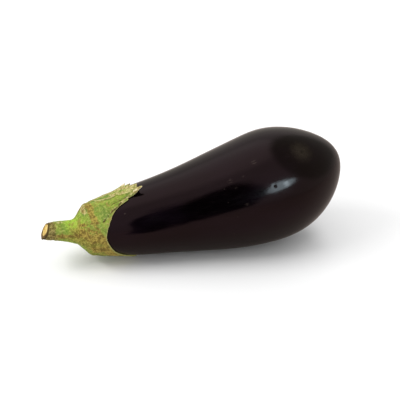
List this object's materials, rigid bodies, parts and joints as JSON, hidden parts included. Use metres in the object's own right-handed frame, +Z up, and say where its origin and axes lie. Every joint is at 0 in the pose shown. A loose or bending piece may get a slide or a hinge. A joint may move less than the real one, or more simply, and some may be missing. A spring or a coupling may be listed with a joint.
{
  "type": "eggplant",
  "caption": "Glossy black-violet eggplant lying on its side, pear-shaped, with a green lobed calyx and a short cut stem.",
  "frame": {"origin": "middle of the bounding box's bottom, on the surface that the fruit lies on", "axes": "+X from the cut stem towards the blossom end, +Z up, -Y the side with the wide bay between two calyx lobes"},
  "size_m": [0.241, 0.0888, 0.0922],
  "materials": {
    "skin": "gloss",
    "calyx": "matte"
  },
  "bodies": {
    "root": {"fruit": "skin", "calyx_and_stem": "calyx"}
  },
  "joints": []
}
